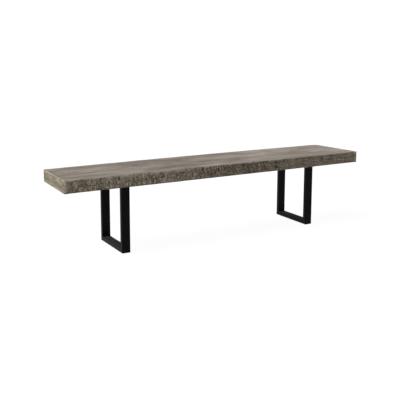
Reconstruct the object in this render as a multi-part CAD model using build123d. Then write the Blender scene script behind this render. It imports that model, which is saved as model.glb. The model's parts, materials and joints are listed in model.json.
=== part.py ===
from build123d import *
import os

# Garden bench: one thick timber plank on two U-shaped steel frames.
# Millimetres. +X runs along the bench, -Y is the front, +Z is up.
# The origin is on the ground, under the middle of the bench's bounding box.

# ---------- seat slab ----------
SEAT_LENGTH = 1980.0         # along the front edge, which is the longer one
SEAT_DEPTH = 400.0           # from the left front corner to the crown of the back edge
SEAT_THICKNESS = 70.0
SEAT_TOP_HEIGHT = 450.0
FRONT_TAPER = 12.0           # how far the front edge falls back by its right end
BACK_CROWN = 20.0            # how far the middle of the back edge bulges past its ends
LEFT_END_SKEW = 10.0         # the back left corner is this much further in than the front one
RIGHT_END_SKEW = 44.0        # the same at the right end, sawn less squarely
CORNER_EASE = 7.0            # radius of the upright corners
BACK_RIGHT_EASE = 45.0       # but the back right one is rounded off
TOP_EDGE_EASE = 4.0          # radius round the top face
BOTTOM_EDGE_EASE = 3.0       # radius round the underside

# ---------- leg frames ----------
FRAME_INSET = 335.0          # from each end of the slab to the outer side of its frame
FRAME_SETBACK = 45.0         # from the slab's front edge to the front upright, and the same behind
TUBE_WIDTH = 50.0            # rectangular tube, measured along the bench
TUBE_HEIGHT = 25.0           # rectangular tube, measured in the plane of the frame
TUBE_WALL = 2.0
TUBE_CORNER = 3.0            # outer corner radius of the tube

# ---------- mounting plates ----------
PLATE_WIDTH = 110.0          # along the bench
PLATE_THICKNESS = 5.0
PLATE_CORNER = 12.0
BOLT_EDGE = 15.0             # from the side of the plate to the bolt centres
BOLT_SETBACK = 55.0          # from the front or back of the plate to the bolt centres
SLOT_CLEARANCE = 1.0         # slot width over bolt diameter
SLOT_TRAVEL = 6.0            # room for the slab to swell and shrink across its grain

# ---------- fasteners ----------
BOLT_DIAMETER = 8.0
BOLT_HEAD_FLATS = 13.0
BOLT_HEAD_HEIGHT = 5.3
BOLT_HEAD_CHAMFER = 0.6
WASHER_DIAMETER = 20.0
WASHER_CLEARANCE = 0.4       # washer bore over bolt diameter
WASHER_THICKNESS = 1.6
INSERT_WALL = 2.0
INSERT_LENGTH = 22.0
INSERT_FREE_LENGTH = 6.0     # left empty above the end of the bolt
THREAD_CLEARANCE = 0.05      # radial, between shank and insert and between insert and timber

# ---------- welds ----------
WELD_LEG = 3.5               # both legs of every fillet weld

# ---------- glides ----------
GLIDE_DIAMETER = 18.0
GLIDE_THICKNESS = 3.0
GLIDE_EDGE = 1.0             # chamfer round the face that meets the ground
GLIDE_STEM_DIAMETER = 8.0
GLIDE_STEM_LENGTH = 9.0
GLIDE_BARB_LIP = 0.75        # the ring that snaps behind the tube wall, over the stem's radius
GLIDE_BARB_LENGTH = 2.0
GLIDE_INSET = 35.0           # from the end of the foot rail to the glide's centre
GLIDE_CLEARANCE = 0.05       # radial, stem in its hole

# ---------- worked out from the sizes above ----------
SEAT_BOTTOM = SEAT_TOP_HEIGHT - SEAT_THICKNESS
PLATE_BOTTOM = SEAT_BOTTOM - PLATE_THICKNESS
RAIL_BOTTOM = GLIDE_THICKNESS
RAIL_TOP = RAIL_BOTTOM + TUBE_HEIGHT
FRAME_CENTRE_X = SEAT_LENGTH / 2 - FRAME_INSET - TUBE_WIDTH / 2
FRAME_DEPTH = SEAT_DEPTH - 2 * FRAME_SETBACK
HALF_DEPTH = FRAME_DEPTH / 2
BOLT_X = PLATE_WIDTH / 2 - BOLT_EDGE
BOLT_Y = HALF_DEPTH - BOLT_SETBACK
SLOT_WIDTH = BOLT_DIAMETER + SLOT_CLEARANCE
SLOT_LENGTH = SLOT_WIDTH + SLOT_TRAVEL
INSERT_DIAMETER = BOLT_DIAMETER + 2 * INSERT_WALL
GLIDE_Y = HALF_DEPTH - GLIDE_INSET
SIDES = {"left": -FRAME_CENTRE_X, "right": FRAME_CENTRE_X}
ENDS = {"front": -1, "rear": 1}


def bolt_places(x):
    """The four bolt centres of the frame at x."""
    return [(x + x_side * BOLT_X, y_side * BOLT_Y) for x_side in (-1, 1) for y_side in (-1, 1)]


def round_bar(x, y, bottom, height, diameter):
    """A round bar standing at x, y on the level `bottom`."""
    return Pos(x, y, bottom) * extrude(Circle(diameter / 2), height)


def seat_slab():
    """The plank: a slightly uneven outline, eased edges and eight blind holes for the inserts."""
    front_left = (-SEAT_LENGTH / 2, -SEAT_DEPTH / 2)
    front_right = (SEAT_LENGTH / 2, -SEAT_DEPTH / 2 + FRONT_TAPER)
    back_y = SEAT_DEPTH / 2 - BACK_CROWN
    back_right = (SEAT_LENGTH / 2 - RIGHT_END_SKEW, back_y)
    back_left = (-SEAT_LENGTH / 2 + LEFT_END_SKEW, back_y)
    crown = ((back_right[0] + back_left[0]) / 2, SEAT_DEPTH / 2)
    straight_sides = Polyline(back_left, front_left, front_right, back_right)
    outline = make_face(straight_sides + ThreePointArc(back_right, crown, back_left))
    plank = Pos(0, 0, SEAT_BOTTOM) * extrude(outline, SEAT_THICKNESS)
    corners = plank.edges().filter_by(Axis.Z).sort_by_distance((*back_right, SEAT_BOTTOM))
    plank = fillet(corners[1:], CORNER_EASE)
    round_corner = plank.edges().filter_by(Axis.Z).sort_by_distance((*back_right, SEAT_BOTTOM))[0]
    plank = fillet(round_corner, BACK_RIGHT_EASE)
    plank = fillet(plank.edges().group_by(Axis.Z)[-1], TOP_EDGE_EASE)
    plank = fillet(plank.edges().group_by(Axis.Z)[0], BOTTOM_EDGE_EASE)
    hole_diameter = INSERT_DIAMETER + 2 * THREAD_CLEARANCE
    for x in SIDES.values():
        for hole_x, hole_y in bolt_places(x):
            plank -= round_bar(hole_x, hole_y, SEAT_BOTTOM, INSERT_LENGTH, hole_diameter)
    return plank


def tube(length):
    """A length of rectangular tube standing on the origin, wide along X."""
    outside = RectangleRounded(TUBE_WIDTH, TUBE_HEIGHT, TUBE_CORNER)
    inside_width = TUBE_WIDTH - 2 * TUBE_WALL
    inside_height = TUBE_HEIGHT - 2 * TUBE_WALL
    inside = RectangleRounded(inside_width, inside_height, TUBE_CORNER - TUBE_WALL)
    return extrude(outside - inside, length)


def mitre_plane(x, end):
    """The 45 degree cut through a low corner; the upright lies on its top side, the rail below."""
    return Plane(origin=(x, end * HALF_DEPTH, RAIL_BOTTOM), x_dir=(1, 0, 0), z_dir=(0, end, 1))


def upright(x, end):
    """One leg of the frame, square at the top and mitred at the bottom."""
    y = end * (HALF_DEPTH - TUBE_HEIGHT / 2)
    bar = Pos(x, y, RAIL_BOTTOM) * tube(PLATE_BOTTOM - RAIL_BOTTOM)
    return split(bar, mitre_plane(x, end), keep=Keep.TOP)


def foot_rail(x):
    """The tube along the ground, mitred at both ends, with a hole under each glide."""
    bar = Pos(x, HALF_DEPTH, RAIL_BOTTOM + TUBE_HEIGHT / 2) * Rot(90, 0, 0) * tube(FRAME_DEPTH)
    for end in ENDS.values():
        bar = split(bar, mitre_plane(x, end), keep=Keep.BOTTOM)
        bar -= round_bar(x, end * GLIDE_Y, RAIL_BOTTOM, TUBE_WALL, GLIDE_STEM_DIAMETER + 2 * GLIDE_CLEARANCE)
    return bar


def mounting_plate(x):
    """The flat plate under the slab, flush with the frame front and back."""
    plate = extrude(RectangleRounded(PLATE_WIDTH, FRAME_DEPTH, PLATE_CORNER), PLATE_THICKNESS)
    plate = Pos(x, 0, PLATE_BOTTOM) * plate
    for slot_x, slot_y in bolt_places(x):
        slot = extrude(SlotOverall(SLOT_LENGTH, SLOT_WIDTH, rotation=90), PLATE_THICKNESS)
        plate -= Pos(slot_x, slot_y, PLATE_BOTTOM) * slot
    return plate


def corner_weld(x, end):
    """A bead along the inside of one mitred corner."""
    inside_y = end * (HALF_DEPTH - TUBE_HEIGHT)
    length = TUBE_WIDTH - 2 * TUBE_CORNER
    corners = [(inside_y, RAIL_TOP), (inside_y - end * WELD_LEG, RAIL_TOP), (inside_y, RAIL_TOP + WELD_LEG)]
    section = Plane.YZ * make_face(Polyline(*corners, close=True))
    return Pos(x - length / 2, 0, 0) * extrude(section, length, dir=(1, 0, 0))


def plate_weld(x, end):
    """A bead round three sides of an upright's top, where the plate overhangs it."""
    outline = RectangleRounded(TUBE_WIDTH, TUBE_HEIGHT, TUBE_CORNER)
    toe = RectangleRounded(TUBE_WIDTH + 2 * WELD_LEG, TUBE_HEIGHT + 2 * WELD_LEG, TUBE_CORNER + WELD_LEG)
    bead = loft([outline, Pos(0, 0, WELD_LEG) * toe])
    bead -= extrude(outline, WELD_LEG)
    reach = TUBE_HEIGHT / 2 - TUBE_CORNER
    cut_off = Plane(origin=(0, end * reach, 0), z_dir=(0, end, 0))
    bead = split(bead, cut_off, keep=Keep.BOTTOM)
    return Pos(x, end * (HALF_DEPTH - TUBE_HEIGHT / 2), PLATE_BOTTOM - WELD_LEG) * bead


def bolt(x, y):
    """A hex-head bolt, driven up from below."""
    under_washer = PLATE_BOTTOM - WASHER_THICKNESS
    head = extrude(RegularPolygon(BOLT_HEAD_FLATS / 2, 6, major_radius=False), BOLT_HEAD_HEIGHT)
    head = chamfer(head.edges().group_by(Axis.Z)[0], BOLT_HEAD_CHAMFER)
    head = Pos(x, y, under_washer - BOLT_HEAD_HEIGHT) * head
    shank_length = WASHER_THICKNESS + PLATE_THICKNESS + INSERT_LENGTH - INSERT_FREE_LENGTH
    return head + round_bar(x, y, under_washer, shank_length, BOLT_DIAMETER)


def washer(x, y):
    """A plain washer between the bolt head and the plate."""
    bottom = PLATE_BOTTOM - WASHER_THICKNESS
    disc = round_bar(x, y, bottom, WASHER_THICKNESS, WASHER_DIAMETER)
    return disc - round_bar(x, y, bottom, WASHER_THICKNESS, BOLT_DIAMETER + WASHER_CLEARANCE)


def insert(x, y):
    """A threaded sleeve sunk in the slab, flush with its underside."""
    sleeve = round_bar(x, y, SEAT_BOTTOM, INSERT_LENGTH, INSERT_DIAMETER)
    return sleeve - round_bar(x, y, SEAT_BOTTOM, INSERT_LENGTH, BOLT_DIAMETER + 2 * THREAD_CLEARANCE)


def glide(x, end):
    """A plastic foot: a disc on the ground with a barbed stem pushed up into the rail."""
    y = end * GLIDE_Y
    disc = round_bar(x, y, 0, GLIDE_THICKNESS, GLIDE_DIAMETER)
    disc = chamfer(disc.edges().group_by(Axis.Z)[0], GLIDE_EDGE)
    stem = round_bar(x, y, GLIDE_THICKNESS, GLIDE_STEM_LENGTH, GLIDE_STEM_DIAMETER)
    barb_diameter = GLIDE_STEM_DIAMETER + 2 * GLIDE_BARB_LIP
    barb = round_bar(x, y, RAIL_BOTTOM + TUBE_WALL, GLIDE_BARB_LENGTH, barb_diameter)
    return disc + stem + barb


# ---------- write one file per piece ----------
os.makedirs("parts", exist_ok=True)
pieces = {"seat_slab": seat_slab()}
for side, frame_x in SIDES.items():
    places = bolt_places(frame_x)
    for end_name, end_sign in ENDS.items():
        pieces[f"{side}_{end_name}_upright"] = upright(frame_x, end_sign)
        pieces[f"{side}_{end_name}_glide"] = glide(frame_x, end_sign)
    pieces[f"{side}_foot_rail"] = foot_rail(frame_x)
    pieces[f"{side}_mounting_plate"] = mounting_plate(frame_x)
    pieces[f"{side}_corner_welds"] = Compound([corner_weld(frame_x, end) for end in ENDS.values()])
    pieces[f"{side}_plate_welds"] = Compound([plate_weld(frame_x, end) for end in ENDS.values()])
    pieces[f"{side}_bolts"] = Compound([bolt(*place) for place in places])
    pieces[f"{side}_washers"] = Compound([washer(*place) for place in places])
    pieces[f"{side}_inserts"] = Compound([insert(*place) for place in places])
for name, shape in pieces.items():
    export_step(shape, f"parts/{name}.step")
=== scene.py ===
"""A garden bench: a weathered plank with hewn long edges, on two frames of black steel tube."""

import json
import math

import bmesh
import bpy
import numpy as np
from mathutils import Matrix, Vector


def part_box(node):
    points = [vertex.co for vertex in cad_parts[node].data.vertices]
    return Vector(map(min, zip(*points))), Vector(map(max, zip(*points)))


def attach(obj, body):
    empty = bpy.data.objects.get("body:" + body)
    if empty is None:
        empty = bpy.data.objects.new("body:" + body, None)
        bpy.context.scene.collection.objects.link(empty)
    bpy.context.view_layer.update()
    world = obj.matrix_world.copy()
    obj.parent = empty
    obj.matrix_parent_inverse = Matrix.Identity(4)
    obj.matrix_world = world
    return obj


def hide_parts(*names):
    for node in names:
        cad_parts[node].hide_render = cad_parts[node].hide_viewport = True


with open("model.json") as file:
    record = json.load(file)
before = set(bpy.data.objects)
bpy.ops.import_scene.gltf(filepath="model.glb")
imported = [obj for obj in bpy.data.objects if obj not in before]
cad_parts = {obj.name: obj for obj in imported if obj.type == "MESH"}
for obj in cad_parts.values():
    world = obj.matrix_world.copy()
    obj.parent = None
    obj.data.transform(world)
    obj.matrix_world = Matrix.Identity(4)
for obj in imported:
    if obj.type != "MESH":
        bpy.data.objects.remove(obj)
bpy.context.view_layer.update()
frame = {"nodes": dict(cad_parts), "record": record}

# ---------- the plank's outline, in metres, as the joiner sawed it ----------
FRONT_TAPER = 0.012          # how far the front edge falls back by its right end
BACK_CROWN = 0.020           # how far the middle of the back edge bulges past its ends
LEFT_END_SKEW = 0.010        # the back left corner stands this much further in than the front one
RIGHT_END_SKEW = 0.044
CORNER_RADIUS = 0.007
BACK_RIGHT_RADIUS = 0.045    # the far right corner is rounded off
TOP_RADIUS = 0.004
BOTTOM_RADIUS = 0.003
LEVEL_TOLERANCE = 0.00001    # how close to a height an edge is to count as lying at it
BORDER_ROWS = (0.008, 0.016, 0.028, 0.046)   # extra rows of faces, this far in from each long edge
ROWS_ACROSS = 9
ROWS_DOWN = 26
CUTS_ALONG = ((19, 1.5), (39, 0.05))   # two rounds make 20 x 40 columns of 2.5 mm: cuts, shortest edge cut

# ---------- how the long edges were hewn ----------
WANDER_DEPTH = {"front": 0.008, "back": 0.003}     # the arris wanders this far into the plank
SLUMP_DEPTH = {"front": 0.0065, "back": 0.0012}    # and drops this far where the top was dressed off
WANDER_REACH = 0.060
SLUMP_REACH = 0.026
FACET_DEPTH = 0.0035         # hollows left by the adze
FISSURE_DEPTH = 0.0034       # the torn, upright cracks of the rough stretch
FIBRE_DEPTH = 0.0022         # the lifted grain of the calm stretch
FISSURE_LEAN = 0.22          # radians from upright, towards the left as they rise
SANDED_DEPTH = 0.0012        # how far the top dips where it was sanded most
PRESS_DEPTH = 0.0045         # deeper tears, each at a share of the length and of the height
TEARS = ((0.156, 0.74), (0.256, 0.28), (0.331, 0.45), (0.420, 0.86), (0.470, 0.68),
         (0.523, 0.62), (0.557, 0.84), (0.675, 0.74), (0.678, 0.38), (0.855, 0.70))
TEAR_SIZE = 0.014

# ---------- holes and welds ----------
INSERT_RADIUS = 0.006
POCKET_CLEARANCE = 0.00005
BEAD_GRID = 0.00045          # size of a bead's faces
RIPPLE_PITCH = 0.0034        # from one ripple to the next, along X or Y in an unturned pattern
RIPPLE_CYCLE = math.tau / 10   # what the band texture repeats at, in its own units
RIPPLE_DEPTH = 0.0005
PLATE_WELD_TURN = math.radians(45)   # ripples then cross only the stretches that run front to back

slab_low, slab_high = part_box("seat_slab")
slab_size = slab_high - slab_low
slab_middle = (slab_low + slab_high) / 2


# ---------- working in edit mode ----------
def only(piece):
    """Makes one piece the selected and active one."""
    for other in bpy.context.selected_objects:
        other.select_set(False)
    piece.select_set(True)
    bpy.context.view_layer.objects.active = piece


def pick(kind, test):
    """In edit mode, selects just the verts, edges or faces that pass the test."""
    mesh = bpy.context.object.data
    shape = bmesh.from_edit_mesh(mesh)
    for item in [*shape.verts, *shape.edges, *shape.faces]:
        item.select = False
    for item in getattr(shape, kind):
        if test(item):
            item.select = True
    shape.select_mode = {{"verts": "VERT", "edges": "EDGE", "faces": "FACE"}[kind]}
    shape.select_flush_mode()
    bmesh.update_edit_mesh(mesh)


def cut_across(axis, shortest, cuts):
    """Divides every edge that runs along an axis and is longer than shortest."""
    def runs_along(edge):
        run = edge.verts[1].co - edge.verts[0].co
        return abs(run[axis]) > shortest and abs(run[axis]) > 0.9 * run.length
    pick("edges", runs_along)
    bpy.ops.mesh.subdivide(number_cuts=cuts)


def slide_corner(x_side, y_side, move):
    """Moves one upright corner of the plank in plan."""
    def at_corner(vert):
        off_middle = vert.co - slab_middle
        return off_middle.x * x_side > 0 and off_middle.y * y_side > 0
    pick("verts", at_corner)
    bpy.ops.transform.translate(value=(*move, 0))


def level_edges(height):
    """A test for the edges that lie round the plank at one height."""
    return lambda e: all(abs(v.co.z - height) < LEVEL_TOLERANCE for v in e.verts)


def stands_up(edge):
    return abs(edge.verts[0].co.z - edge.verts[1].co.z) > slab_size.z / 2


def is_back_right(place):
    return place.x > slab_high.x - RIGHT_END_SKEW - CORNER_RADIUS and place.y > slab_middle.y


def plank_blank():
    """The sawn plank, gridded finely enough to be hewn."""
    bpy.ops.object.select_all(action="DESELECT")
    bpy.ops.mesh.primitive_cube_add(size=1, location=slab_middle, scale=slab_size)
    plank = bpy.context.object
    plank.name = "plank"
    bpy.ops.object.transform_apply(location=True, rotation=True, scale=True)
    bpy.ops.object.mode_set(mode="EDIT")
    slide_corner(1, -1, (0, FRONT_TAPER))
    slide_corner(-1, 1, (LEFT_END_SKEW, -BACK_CROWN))
    slide_corner(1, 1, (-RIGHT_END_SKEW, -BACK_CROWN))
    pick("edges", lambda e: stands_up(e) and not is_back_right(e.verts[0].co))
    bpy.ops.mesh.bevel(offset=CORNER_RADIUS, segments=4, affect="EDGES")
    pick("edges", lambda e: stands_up(e) and is_back_right(e.verts[0].co))
    half_turn = (math.pi / 2 - math.atan2(RIGHT_END_SKEW, slab_size.y)) / 2
    bpy.ops.mesh.bevel(offset=BACK_RIGHT_RADIUS * math.tan(half_turn), segments=10, affect="EDGES")
    pick("edges", level_edges(slab_high.z))
    bpy.ops.mesh.bevel(offset=TOP_RADIUS, segments=4, affect="EDGES")
    pick("edges", level_edges(slab_low.z))
    bpy.ops.mesh.bevel(offset=BOTTOM_RADIUS, segments=2, affect="EDGES")
    for inset in BORDER_ROWS:
        bpy.ops.mesh.select_all(action="SELECT")
        bpy.ops.mesh.bisect(plane_co=(slab_low.x, slab_low.y + inset, 0),
                            plane_no=(-FRONT_TAPER, slab_size.x, 0))
        bpy.ops.mesh.select_all(action="SELECT")
        bpy.ops.mesh.bisect(plane_co=(0, slab_high.y - BACK_CROWN - inset, 0), plane_no=(0, 1, 0))
    for cuts, shortest in CUTS_ALONG:
        cut_across(0, shortest, cuts)
    pick("verts", lambda v: v.co.y < slab_middle.y)
    bpy.ops.mesh.hide()
    pick("verts", lambda v: not v.hide and abs(v.co.x - slab_middle.x) < 0.001)
    bpy.ops.transform.translate(value=(0, BACK_CROWN, 0), use_proportional_edit=True,
                                proportional_edit_falloff="INVERSE_SQUARE",
                                proportional_size=slab_size.x / 2)
    bpy.ops.mesh.reveal()
    cut_across(1, 0.2, ROWS_ACROSS)
    cut_across(2, 0.04, ROWS_DOWN)
    bpy.ops.mesh.select_all(action="SELECT")
    bpy.ops.mesh.normals_make_consistent(inside=False)
    bpy.ops.object.mode_set(mode="OBJECT")
    return plank


def drill_pockets(plank):
    """Sinks a blind hole in the underside for each threaded insert."""
    bpy.ops.object.select_all(action="DESELECT")
    drills = []
    for side in ("left", "right"):
        low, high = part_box(side + "_inserts")
        for x in (low.x + INSERT_RADIUS, high.x - INSERT_RADIUS):
            for y in (low.y + INSERT_RADIUS, high.y - INSERT_RADIUS):
                bpy.ops.mesh.primitive_cylinder_add(vertices=48, radius=INSERT_RADIUS + POCKET_CLEARANCE,
                                                    depth=2 * (high.z - low.z), location=(x, y, low.z))
                drills.append(bpy.context.object)
    for drill in drills:
        drill.select_set(True)
    bpy.ops.object.join()
    drill = bpy.context.object
    cut = plank.modifiers.new("pockets", "BOOLEAN")
    cut.object = drill
    only(plank)
    bpy.ops.object.modifier_apply(modifier=cut.name)
    bpy.data.objects.remove(drill)


# ---------- hewing ----------
def points_of(piece):
    flat = np.zeros(len(piece.data.vertices) * 3)
    piece.data.vertices.foreach_get("co", flat)
    return flat.reshape(-1, 3)


def smooth_step(low, high, values):
    """0 below low and 1 above high, with an easy turn at both."""
    share = np.clip((values - low) / (high - low), 0, 1)
    return share * share * (3 - 2 * share)


def note(piece, name, values):
    """Keeps one number for each vertex, for the finish to read."""
    attribute = piece.data.attributes.new(name, "FLOAT", "POINT")
    attribute.data.foreach_set("value", values.astype(np.float32))


def weigh(piece, name, weights):
    """A vertex group with a weight for each vertex."""
    group = piece.vertex_groups.new(name=name)
    for index, weight in enumerate(weights):
        if weight > 0.001:
            group.add([index], float(weight), "REPLACE")
    return name


def texture(name, kind, **settings):
    made = bpy.data.textures.new(name, kind)
    for key, value in settings.items():
        setattr(made, key, value)
    return made


def carve(piece, group, pattern, depth, stretch, direction="Y", lean=0.0, turn=0.0, level=0.0):
    """Moves a piece's vertices by a pattern, which is stretched, leans over Y and turns in plan."""
    guide = bpy.data.objects.new("guide", None)
    guide.scale = stretch
    guide.rotation_euler = (0, lean, turn)
    bpy.context.scene.collection.objects.link(guide)
    cutter = piece.modifiers.new("carve", "DISPLACE")
    cutter.texture = pattern
    cutter.texture_coords = "OBJECT"
    cutter.texture_coords_object = guide
    cutter.direction = direction
    cutter.mid_level = level
    cutter.strength = depth
    cutter.vertex_group = group
    only(piece)
    bpy.context.view_layer.update()
    bpy.ops.object.modifier_apply(modifier=cutter.name)
    bpy.data.objects.remove(guide)


def press(piece, place, depth):
    """Pushes a small hollow into a face, deepest at one place."""
    nearest = np.argmin(np.linalg.norm(points_of(piece) - np.array(place), axis=1))
    only(piece)
    bpy.ops.object.mode_set(mode="EDIT")
    pick("verts", lambda v: v.index == nearest)
    bpy.ops.transform.translate(value=(0, depth, 0), use_proportional_edit=True,
                                proportional_edit_falloff="SMOOTH", proportional_size=TEAR_SIZE)
    bpy.ops.object.mode_set(mode="OBJECT")


def front_line(x):
    return slab_low.y + FRONT_TAPER * (x - slab_low.x) / slab_size.x


def back_line(x):
    return slab_high.y - BACK_CROWN * ((x - slab_middle.x) / (slab_size.x / 2)) ** 2


def from_ends(points):
    """How far each vertex lies in from the nearer end face."""
    x, y = points[:, 0], points[:, 1]
    across = (y - slab_low.y) / slab_size.y
    left_end = slab_low.x + LEFT_END_SKEW * across
    right_end = slab_high.x - RIGHT_END_SKEW * across
    return np.maximum(np.minimum(x - left_end, right_end - x), 0)


def from_round_corner(from_end, from_back):
    """How far a vertex by the rounded corner lies in from the back edge."""
    short_of_end = np.maximum(BACK_RIGHT_RADIUS - from_end, 0)
    short_of_back = np.maximum(BACK_RIGHT_RADIUS - from_back, 0)
    cut_off = np.hypot(short_of_end, short_of_back) - short_of_back
    near = 1 - smooth_step(0.6 * BACK_RIGHT_RADIUS, BACK_RIGHT_RADIUS, from_back)
    return np.maximum(from_back - cut_off * near, 0)


def hew(plank):
    """Gives both long edges a wandering, torn skin, and the top the easy waves of hand sanding."""
    points = points_of(plank)
    x, y, z = points.T
    along = (x - slab_low.x) / slab_size.x
    height = (z - slab_low.z) / slab_size.z
    drop = slab_high.z - z
    end_in = from_ends(points)
    inset = {"front": np.maximum(y - front_line(x), 0), "back": np.maximum(back_line(x) - y, 0)}
    inset["back"] = np.where(x > 0, from_round_corner(end_in, inset["back"]), inset["back"])
    nearest_side = np.minimum(inset["front"], inset["back"])
    note(plank, "rim", drop - nearest_side)
    note(plank, "side_in", nearest_side)
    note(plank, "end_in", end_in)
    note(plank, "corner", np.sort(np.stack([drop, nearest_side, end_in]), axis=0)[1])

    off_corner = smooth_step(0.003, 0.030, end_in)
    rough_stretch = 1.0 - 0.75 * smooth_step(0.56, 0.74, along)
    settled = 1.0 - 0.5 * smooth_step(0.55, 0.85, along)
    wander = texture("wander", "CLOUDS", noise_scale=1.0, noise_depth=3, noise_basis="IMPROVED_PERLIN",
                     contrast=2.2, use_clamp=True)
    facets = texture("facets", "CLOUDS", noise_scale=1.0, noise_depth=1, noise_basis="IMPROVED_PERLIN",
                     contrast=1.8, use_clamp=True)
    fissures = texture("fissures", "VORONOI", noise_scale=1.0, weight_1=-1.0, weight_2=1.0,
                       distance_metric="DISTANCE", noise_intensity=1.6, use_clamp=True)
    fibres = texture("fibres", "CLOUDS", noise_scale=1.0, noise_depth=3, noise_basis="ORIGINAL_PERLIN",
                     contrast=2.0, use_clamp=True)
    for side, inward in (("front", 1), ("back", -1)):
        beside = (1 - smooth_step(0.0, WANDER_REACH, inset[side])) * smooth_step(0.15, 1.0, height)
        group = weigh(plank, side + "_wander", beside * off_corner * settled)
        carve(plank, group, wander, inward * WANDER_DEPTH[side], (0.13, 0.4, 0.3))
        on_rim = (1 - smooth_step(0.0, SLUMP_REACH, inset[side])) * smooth_step(0.35, 1.0, height)
        group = weigh(plank, side + "_slump", on_rim * off_corner * settled)
        carve(plank, group, wander, -SLUMP_DEPTH[side], (0.075, 0.3, 0.5), direction="Z")
        skin = (1 - smooth_step(0.0015, 0.0060, inset[side])) * off_corner
        weigh(plank, side + "_rough", skin * rough_stretch)
        weigh(plank, side + "_calm", skin)
        carve(plank, side + "_calm", facets, inward * FACET_DEPTH, (0.045, 0.03, 0.025))
    dressed = points_of(plank)
    for side, inward in (("front", 1), ("back", -1)):
        carve(plank, side + "_rough", fissures, -inward * FISSURE_DEPTH, (0.0125, 0.017, 0.020),
              lean=-FISSURE_LEAN, level=1.0)
        carve(plank, side + "_calm", fibres, inward * FIBRE_DEPTH, (0.040, 0.020, 0.007))
        for share, level in TEARS:
            tear_x = slab_low.x + slab_size.x * (share if side == "front" else 1 - share)
            tear_y = front_line(tear_x) if side == "front" else back_line(tear_x)
            press(plank, (tear_x, tear_y, slab_low.z + slab_size.z * level), inward * PRESS_DEPTH)
    cut = np.linalg.norm(points_of(plank) - dressed, axis=1)
    note(plank, "relief", np.minimum(cut / (FISSURE_DEPTH * rough_stretch + FIBRE_DEPTH), 1.05))
    on_top = smooth_step(0.9, 1.0, height) * smooth_step(0.006, 0.03, nearest_side)
    group = weigh(plank, "top", on_top * off_corner)
    carve(plank, group, wander, -SANDED_DEPTH, (0.5, 0.09, 1.0), direction="Z")
    plank.vertex_groups.clear()


# ---------- welds ----------
def weld_bead(node, turn):
    """A rippled bead in the place of a plain one, from a pattern that is turned in plan."""
    bead = frame["nodes"][node].copy()
    bead.data = bead.data.copy()
    bead.name = node + "_rippled"
    bpy.context.scene.collection.objects.link(bead)
    only(bead)
    bpy.ops.object.mode_set(mode="EDIT")
    bpy.ops.mesh.select_all(action="SELECT")
    bpy.ops.mesh.remove_doubles(threshold=0.00001)
    bpy.ops.object.mode_set(mode="OBJECT")
    grid = bead.modifiers.new("grid", "REMESH")
    grid.mode = "VOXEL"
    grid.voxel_size = BEAD_GRID
    bpy.ops.object.modifier_apply(modifier=grid.name)
    everywhere = weigh(bead, "all", np.ones(len(bead.data.vertices)))
    ripples = texture("ripples", "WOOD", wood_type="BANDS", noise_basis_2="SIN")
    lumps = texture("lumps", "CLOUDS", noise_scale=1.0)
    pitch = RIPPLE_PITCH / RIPPLE_CYCLE
    carve(bead, everywhere, ripples, RIPPLE_DEPTH, (pitch, pitch, pitch), "NORMAL", turn=turn, level=0.2)
    carve(bead, everywhere, lumps, RIPPLE_DEPTH, (0.006, 0.006, 0.006), "NORMAL", level=0.5)
    bead.vertex_groups.clear()
    only(bead)
    bpy.ops.object.shade_smooth()
    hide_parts(node)
    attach(bead, "root")


# ---------- finishes ----------
class Signal:
    """A socket that takes part in Python sums; a sum adds its Math node."""

    def __init__(self, finish, socket):
        self.finish, self.socket = finish, socket

    def sum(self, operation, first, second=0.0):
        return self.finish.node("ShaderNodeMath", {"operation": operation}, {0: first, 1: second})

    def __add__(self, other):
        return self.sum("ADD", self, other)

    def __radd__(self, other):
        return self.sum("ADD", other, self)

    def __sub__(self, other):
        return self.sum("SUBTRACT", self, other)

    def __rsub__(self, other):
        return self.sum("SUBTRACT", other, self)

    def __mul__(self, other):
        return self.sum("MULTIPLY", self, other)

    def __rmul__(self, other):
        return self.sum("MULTIPLY", other, self)

    def root(self):
        return self.sum("SQRT", self)

    def fraction(self):
        return self.sum("FRACT", self)

    def size(self):
        return self.sum("ABSOLUTE", self)

    def output(self, name):
        """Another output of the same node."""
        return Signal(self.finish, self.socket.node.outputs[name])


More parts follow.
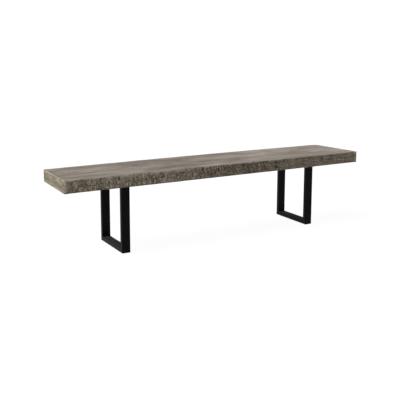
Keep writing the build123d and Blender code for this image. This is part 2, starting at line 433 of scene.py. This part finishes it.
class Finish:
    """One material and the ways to add nodes to it."""

    def __init__(self, name, **constants):
        self.material = bpy.data.materials.new(name)
        self.material.use_nodes = True
        self.tree = self.material.node_tree
        self.shader = self.tree.nodes["Principled BSDF"]
        for socket, value in constants.items():
            self.shader.inputs[socket.replace("_", " ")].default_value = value

    def node(self, kind, settings=None, sockets=None, output=0):
        made = self.tree.nodes.new(kind)
        for key, value in (settings or {}).items():
            if key == "stops":
                ramp = made.color_ramp
                while len(ramp.elements) < len(value):
                    ramp.elements.new(0.5)
                for element, (place, colour) in zip(ramp.elements, value):
                    element.position = place
                    element.color = colour if len(colour) == 4 else (*colour, 1)
            else:
                setattr(made, key, value)
        for key, value in (sockets or {}).items():
            self.feed(made.inputs[key], value)
        return Signal(self, made.outputs[output])

    def feed(self, socket, value):
        if isinstance(value, Signal):
            self.tree.links.new(value.socket, socket)
        elif isinstance(value, tuple) and len(value) == 3 and len(socket.default_value) == 4:
            socket.default_value = (*value, 1)
        else:
            socket.default_value = value

    def surface(self, **sockets):
        for name, value in sockets.items():
            self.feed(self.shader.inputs[name.replace("_", " ")], value)
        return self.material

    def place(self, scale=(1, 1, 1), offset=(0, 0, 0)):
        """The point on the piece, stretched and moved."""
        point = self.node("ShaderNodeTexCoord", output="Object")
        return self.node("ShaderNodeMapping", None, {"Vector": point, "Scale": scale, "Location": offset})

    def noise(self, vector, scale, detail=2.0, roughness=0.5):
        sockets = {"Vector": vector, "Scale": scale, "Detail": detail, "Roughness": roughness}
        return self.node("ShaderNodeTexNoise", {"noise_dimensions": "3D"}, sockets)

    def cells(self, vector, scale, feature="F1"):
        return self.node("ShaderNodeTexVoronoi", {"feature": feature}, {"Vector": vector, "Scale": scale})

    def attribute(self, name):
        return self.node("ShaderNodeAttribute", {"attribute_name": name}, output="Fac")

    def between(self, value, low, high, to_low=0.0, to_high=1.0):
        """Spreads a range of values over another, held at its ends."""
        sockets = {0: value, 1: low, 2: high, 3: to_low, 4: to_high}
        return self.node("ShaderNodeMapRange", {"interpolation_type": "SMOOTHSTEP"}, sockets)

    def blend(self, factor, first, second):
        """A colour between two colours."""
        return self.node("ShaderNodeMix", {"data_type": "RGBA"}, {0: factor, 6: first, 7: second}, 2)

    def ramp(self, value, *stops):
        return self.node("ShaderNodeValToRGB", {"stops": stops}, {0: value})

    def bump(self, height, distance, strength=1.0):
        sockets = {"Height": height, "Distance": distance, "Strength": strength}
        return self.node("ShaderNodeBump", None, sockets)


def weathered_timber():
    """Grey weathered hardwood: one solid grain through the plank, with sanded, hewn and end-grain skins."""
    f = Finish("weathered_timber", Roughness=0.8)
    x = f.node("ShaderNodeSeparateXYZ", None, {0: f.place()}, "X")
    y, z = x.output("Y"), x.output("Z")
    rim, end_in, corner, relief = (f.attribute(name) for name in ("rim", "end_in", "corner", "relief"))
    side_in = f.attribute("side_in")

    # growth rings about a pith far under the plank, wandering along its length
    sway = f.noise(f.place((1.3, 4.0, 4.0)), 1.0, 2.0) - 0.5
    across = y - 0.03 + sway * 0.06
    up = z - (slab_low.z - 0.30)
    radius = (across * across + up * up).root()
    ring = (radius * 120.0 + sway * 3.0).fraction()
    late = f.between(ring, 0.50, 0.92) - f.between(ring, 0.92, 1.0)

    # fibres, bands, clouds and pores
    fibre = f.noise(f.place((4.0, 260.0, 260.0)), 1.0, 4.0, 0.62)
    band = f.noise(f.place((3.0, 34.0, 34.0)), 1.0, 3.0, 0.55)
    patch = f.noise(f.place((9.0, 30.0, 30.0), (1, 7, 2)), 1.0, 3.0, 0.55)
    broad = f.noise(f.place((2.4, 13.0, 13.0), (5, 2, 1)), 1.0, 2.0, 0.5)
    cloud = f.noise(f.place((1.7, 4.0, 4.0), (3, 1, 2)), 1.0, 2.0)
    pore = f.between(f.noise(f.place((55.0, 900.0, 900.0)), 1.0, 1.0), 0.60, 0.74)
    shadowed = 1 - f.between((x + 0.13) * (x + 0.13), 0.02, 0.28)
    far_end = f.between(x, 0.2, 0.8)

    shade = (0.5 + (broad - 0.5) * 0.65 + (band - 0.5) * 0.75 + (patch - 0.5) * 0.75 + (fibre - 0.5) * 0.8
             + (cloud - 0.5) * 0.45 - late * 0.10 - pore * 0.10 - shadowed * 0.08 + far_end * 0.05)
    top = f.ramp(shade, (0.05, (0.105, 0.086, 0.070)), (0.45, (0.225, 0.193, 0.160)),
                 (0.85, (0.375, 0.336, 0.293)))

    # the hewn skin: dark in the fissures, pale on the lifted flecks, calmer towards the right
    leaning = f.node("ShaderNodeMapping", None, {"Vector": f.place(), "Rotation": (0, FISSURE_LEAN, 0),
                                                 "Scale": (170.0, 170.0, 95.0)})
    fleck = f.noise(leaning, 1.0, 3.0, 0.6)
    wobble = f.noise(f.place(), 90.0, 3.0, 0.65).output("Color")
    torn = f.node("ShaderNodeVectorMath", {"operation": "MULTIPLY_ADD"},
                  {0: wobble, 1: (2.6, 2.6, 1.6), 2: leaning})
    upright = f.node("ShaderNodeVectorMath", {"operation": "MULTIPLY"}, {0: torn, 1: (0.80, 0.80, 0.42)})
    chip = f.cells(upright, 1.0).output("Color")
    crack = 1 - f.between(f.cells(upright, 1.0, "DISTANCE_TO_EDGE"), 0.0, 0.16)
    grain = f.noise(f.place((14.0, 200.0, 230.0)), 1.0, 3.0, 0.6)
    streak = f.noise(f.place((12.0, 60.0, 95.0)), 1.0, 3.0)
    blotch = f.noise(f.place((16.0, 16.0, 30.0)), 1.0, 2.0)
    calm = f.between(x, 0.10, 0.55)
    shaded = f.between(x, -0.60, 0.38) * 0.27
    by_rim = 1 - f.between(rim, 0.004, 0.024)
    handled = by_rim * f.between(x, -0.80, -0.55) * (1 - f.between(x, -0.25, 0.0))
    raised = (0.715 - (relief - 0.55) * 0.52 - shaded + handled * 0.15 + (fleck - 0.5) * (1.75 - calm * 0.95)
              + ((chip - 0.5) * 0.55 - crack * 0.22) * (1 - calm * 0.75) + (streak - 0.5) * (0.2 + calm * 0.7)
              + (grain - 0.5) * 0.6 + (blotch - 0.5) * (0.35 - calm * 0.1))
    edge = f.ramp(raised, (0.05, (0.030, 0.023, 0.014)), (0.50, (0.165, 0.133, 0.094)),
                  (0.95, (0.400, 0.342, 0.258)))

    # the sawn ends: yellower, with the rings showing and fine drying checks
    ripple = f.noise(f.place((40.0, 9.0, 75.0)), 1.0, 3.0, 0.6)
    checks = f.between(f.noise(f.place((30.0, 60.0, 420.0)), 1.0, 2.0), 0.60, 0.68)
    end_shade = 0.54 - late * 0.28 + (ripple - 0.5) * 1.9 + (fibre - 0.5) * 0.5 - checks * 0.25
    end_grain = f.ramp(end_shade, (0.05, (0.080, 0.065, 0.038)), (0.50, (0.190, 0.163, 0.110)),
                       (0.90, (0.310, 0.275, 0.200)))

    ragged = (f.noise(f.place((38.0, 38.0, 60.0)), 1.0, 3.0, 0.6) - 0.5) * 0.020
    on_side = 1 - f.between(side_in, 0.009, 0.015)
    hewn = f.between(rim + ragged * (1 - calm * 0.55), -0.0020, 0.0035) * on_side
    sawn_end = 1 - f.between(end_in + ragged * 0.15 + far_end * 0.0018, 0.0015, 0.0050)
    # pale along the arrises: wear, with a painted highlight on them, fading out towards the right end
    worn_and_highlit_arris = (1 - f.between(corner, 0.0012, 0.0045)) * f.between(fleck, 0.30, 0.60) * (1 - far_end * 0.85)
    # the top paler from rubbing towards its long edges
    paler_toward_edges = f.between(rim, -0.030, -0.006) * (1 - hewn) * f.between(blotch, 0.35, 0.65)
    damp = (1 - f.between(z - slab_low.z, 0.002, 0.010)) * f.between(blotch, 0.36, 0.50) * hewn

    colour = f.blend(paler_toward_edges * 0.35, top, (0.345, 0.312, 0.275))
    colour = f.blend(hewn, colour, edge)
    colour = f.blend(sawn_end, colour, end_grain)
    # pale arris colour: wear and a painted highlight
    colour = f.blend(worn_and_highlit_arris * 0.8, colour, (0.390, 0.352, 0.280))
    colour = f.blend(damp * 0.7, colour, (0.045, 0.040, 0.030))

    smooth_bump = f.bump(fibre * 0.5 + band * 0.3 - pore * 0.9 - late * 0.3, 0.0007, 0.8)
    rough_bump = f.bump(fleck * 0.7 + grain * 0.5 + (chip * 0.2 - crack * 0.35) * (1 - calm), 0.0040, 1.0)
    normal = f.node("ShaderNodeMix", {"data_type": "VECTOR"},
                    {0: hewn * (1 - sawn_end), 4: smooth_bump, 5: rough_bump}, 1)
    return f.surface(Base_Color=colour, Roughness=f.between(shade, 0.2, 0.9, 0.90, 0.66), Normal=normal)


def powder_coat():
    """Black powder coat with fine orange peel, greyed where it faces up by dusting and by painted light."""
    f = Finish("black_powder_coat", Roughness=0.45, Specular_IOR_Level=0.055)
    rail_low, rail_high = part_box("right_foot_rail")
    frame_x, frame_half = (rail_low.x + rail_high.x) / 2, (rail_high.x - rail_low.x) / 2
    facing = f.node("ShaderNodeSeparateXYZ", None, {0: f.node("ShaderNodeNewGeometry", output="Normal")}, "Z")
    cloud = f.noise(f.place((6.0, 6.0, 2.5)), 1.0, 4.0, 0.6)
    peel = f.noise(f.place(), 900.0, 1.0)
    coat = f.ramp(cloud, (0.35, (0.0018, 0.0018, 0.0019)), (0.70, (0.0036, 0.0035, 0.0034)))
    # faces that look up are dusty and paler, with painted light on the rail tops
    dust_and_top_light = f.between(facing, 0.25, 0.95) * f.between(f.noise(f.place(), 34.0, 4.0, 0.65), 0.2, 0.8, 0.45, 1.0)
    from_frame = ((f.node("ShaderNodeSeparateXYZ", None, {0: f.place()}, "X")).size() - frame_x).size()
    # paler along the tube corners: rubbing of the coat, and a painted highlight on the rounded corners
    paler_toward_edges = f.between(from_frame, frame_half - 0.003, frame_half) * f.between(cloud, 0.3, 0.6)
    colour = f.blend(dust_and_top_light, coat, (0.054, 0.052, 0.050))
    colour = f.blend(paler_toward_edges * 0.15, colour, (0.018, 0.017, 0.016))
    return f.surface(Base_Color=colour, Roughness=f.between(cloud, 0.3, 0.7, 0.40, 0.52),
                     Normal=f.bump(peel, 0.00012, 0.6))


def plated_steel():
    f = Finish("zinc_plate", Metallic=1.0)
    patch = f.noise(f.place(), 260.0, 3.0)
    colour = f.ramp(patch, (0.35, (0.40, 0.41, 0.42)), (0.65, (0.62, 0.63, 0.62)))
    return f.surface(Base_Color=colour, Roughness=f.between(patch, 0.3, 0.7, 0.28, 0.45),
                     Normal=f.bump(patch, 0.00008, 0.5))


def brass():
    f = Finish("brass", Metallic=1.0)
    patch = f.noise(f.place(), 320.0, 2.0)
    colour = f.ramp(patch, (0.3, (0.42, 0.30, 0.12)), (0.7, (0.62, 0.47, 0.22)))
    return f.surface(Base_Color=colour, Roughness=f.between(patch, 0.3, 0.7, 0.30, 0.50))


def nylon():
    f = Finish("black_nylon", Roughness=0.6)
    grain = f.noise(f.place(), 1400.0, 2.0)
    scuff = f.noise(f.place(), 90.0, 3.0)
    colour = f.ramp(scuff, (0.35, (0.010, 0.010, 0.010)), (0.75, (0.030, 0.029, 0.028)))
    return f.surface(Base_Color=colour, Roughness=f.between(scuff, 0.3, 0.7, 0.5, 0.75),
                     Normal=f.bump(grain, 0.00006, 0.5))


# ---------- studio ----------
FLOOR_SIZE = 120
FLOOR_GLOW = 0.95            # lifts the floor to the white of the surround
SUN_STRENGTH = 3.9
SUN_SPREAD = math.radians(50)
SUN_FROM = Vector((-0.62, 0.15, 0.77))
SURROUND_SEEN = 1.1          # how bright the surround is to the camera
SURROUND_LIT = 0.20          # and how much of it falls on the bench


def studio_floor():
    bpy.ops.object.select_all(action="DESELECT")
    bpy.ops.mesh.primitive_plane_add(size=FLOOR_SIZE, location=(0, 0, 0))
    floor = bpy.context.object
    floor.name = "studio_floor"
    f = Finish("pale_floor", Roughness=0.9, Specular_IOR_Level=0.0, Emission_Color=(1, 1, 1, 1),
               Emission_Strength=FLOOR_GLOW)
    tone = f.noise(f.place(), 0.8, 2.0)
    floor.data.materials.append(f.surface(Base_Color=f.ramp(tone, (0.3, (0.075,) * 3), (0.7, (0.085,) * 3))))


def studio_light():
    """A broad soft sun from high on the left and behind, with a white surround."""
    sun = bpy.data.lights.new("soft_key", "SUN")
    sun.energy = SUN_STRENGTH
    sun.angle = SUN_SPREAD
    lamp = bpy.data.objects.new("soft_key", sun)
    lamp.rotation_euler = SUN_FROM.to_track_quat("Z", "Y").to_euler()
    bpy.context.scene.collection.objects.link(lamp)
    world = bpy.data.worlds.new("white_surround")
    world.use_nodes = True
    tree = world.node_tree
    seen = tree.nodes["Background"]
    seen.inputs["Color"].default_value = (1, 1, 1, 1)
    seen.inputs["Strength"].default_value = SURROUND_SEEN
    lit = tree.nodes.new("ShaderNodeBackground")
    lit.inputs["Color"].default_value = (1.0, 0.99, 0.98, 1)
    lit.inputs["Strength"].default_value = SURROUND_LIT
    rays = tree.nodes.new("ShaderNodeLightPath")
    choose = tree.nodes.new("ShaderNodeMixShader")
    tree.links.new(rays.outputs["Is Camera Ray"], choose.inputs[0])
    tree.links.new(lit.outputs[0], choose.inputs[1])
    tree.links.new(seen.outputs[0], choose.inputs[2])
    tree.links.new(choose.outputs[0], tree.nodes["World Output"].inputs["Surface"])
    bpy.context.scene.world = world
    bpy.context.scene.view_settings.view_transform = "Standard"


# ---------- camera ----------
CAMERA_PLACE = (-2.1402, -3.6203, 1.1734)
CAMERA_HEADING = 29.680      # degrees to the right of straight across the bench
CAMERA_TILT = 8.990          # degrees down
CAMERA_ROLL = 0.137
CAMERA_LENS = 63.63          # millimetres, on a 36 mm sensor
CAMERA_SHIFT = -0.125        # of the frame's width, downwards


def studio_camera():
    data = bpy.data.cameras.new("studio_camera")
    data.sensor_width = 36.0
    data.lens = CAMERA_LENS
    data.shift_y = CAMERA_SHIFT
    data.clip_end = 200.0
    camera = bpy.data.objects.new("studio_camera", data)
    turn = Matrix.Rotation(math.radians(-CAMERA_HEADING), 4, "Z")
    tilt = Matrix.Rotation(math.radians(90 - CAMERA_TILT), 4, "X")
    roll = Matrix.Rotation(math.radians(CAMERA_ROLL), 4, "Z")
    camera.matrix_world = Matrix.Translation(CAMERA_PLACE) @ turn @ tilt @ roll
    bpy.context.scene.collection.objects.link(camera)
    bpy.context.scene.camera = camera


# ---------- the bench ----------
plank = plank_blank()
drill_pockets(plank)
hew(plank)
plank.data.materials.append(weathered_timber())
only(plank)
bpy.ops.object.shade_smooth_by_angle(angle=math.radians(50))
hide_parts("seat_slab")
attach(plank, "root")

finishes = {"black_steel": powder_coat(), "zinc": plated_steel(), "brass": brass(), "glide_nylon": nylon()}
for subpart in frame["record"]["subparts"]:
    if subpart["material_slot"] in finishes:
        mesh = frame["nodes"][subpart["node"]].data
        mesh.materials.clear()
        mesh.materials.append(finishes[subpart["material_slot"]])

for side in ("left", "right"):
    weld_bead(side + "_corner_welds", 0.0)
    weld_bead(side + "_plate_welds", PLATE_WELD_TURN)

studio_floor()
studio_light()
studio_camera()
